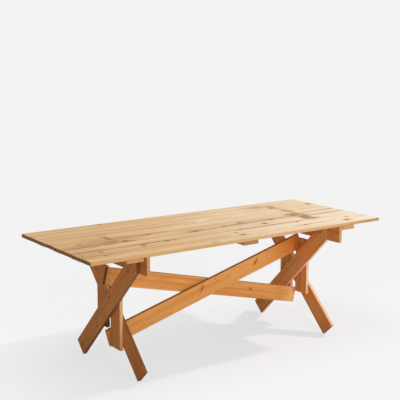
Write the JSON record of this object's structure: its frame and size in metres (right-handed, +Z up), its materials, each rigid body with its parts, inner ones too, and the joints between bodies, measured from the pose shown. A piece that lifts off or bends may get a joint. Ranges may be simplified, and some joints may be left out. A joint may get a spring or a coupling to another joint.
{
  "type": "trestle table",
  "caption": "Plank table of nailed pine boards: a loose top on battens, resting on crossed-leg trestles tied by crossing diagonal braces.",
  "frame": {"origin": "on the floor under the middle of the top", "axes": "+X along the table to the right as seen from the front, +Y across it to the back, +Z up"},
  "size_m": [2, 0.8, 0.72],
  "materials": {
    "top_pine": "bare sawn pine, pale, lightly stained by use",
    "frame_pine": "bare sawn pine, aged to a warm brown",
    "brace_pine": "bare sawn pine, aged to a warm orange",
    "nail_steel": "dull, darkened steel"
  },
  "bodies": {
    "base": {"left_outer_leg": "frame_pine", "left_inner_leg": "frame_pine", "left_rail": "frame_pine", "left_low_upright": "frame_pine", "left_high_upright": "frame_pine", "left_leg_nails": "nail_steel", "right_outer_leg": "frame_pine", "right_inner_leg": "frame_pine", "right_rail": "frame_pine", "right_low_upright": "frame_pine", "right_high_upright": "frame_pine", "right_leg_nails": "nail_steel", "brace_front": "brace_pine", "brace_back": "brace_pine", "brace_nails": "nail_steel"},
    "top": {"top_board_1": "top_pine", "top_board_2": "top_pine", "top_board_3": "top_pine", "top_board_4": "top_pine", "top_board_5": "top_pine", "top_board_6": "top_pine", "top_board_7": "top_pine", "top_board_8": "top_pine", "batten_left": "frame_pine", "batten_middle": "frame_pine", "batten_right": "frame_pine", "top_nails_left": "nail_steel", "top_nails_middle": "nail_steel", "top_nails_right": "nail_steel"}
  },
  "joints": [
    {"name": "top_lift", "type": "slide", "parent": "base", "child": "top", "axis": [0, 0, 1], "range_m": [0, 0.3]}
  ]
}
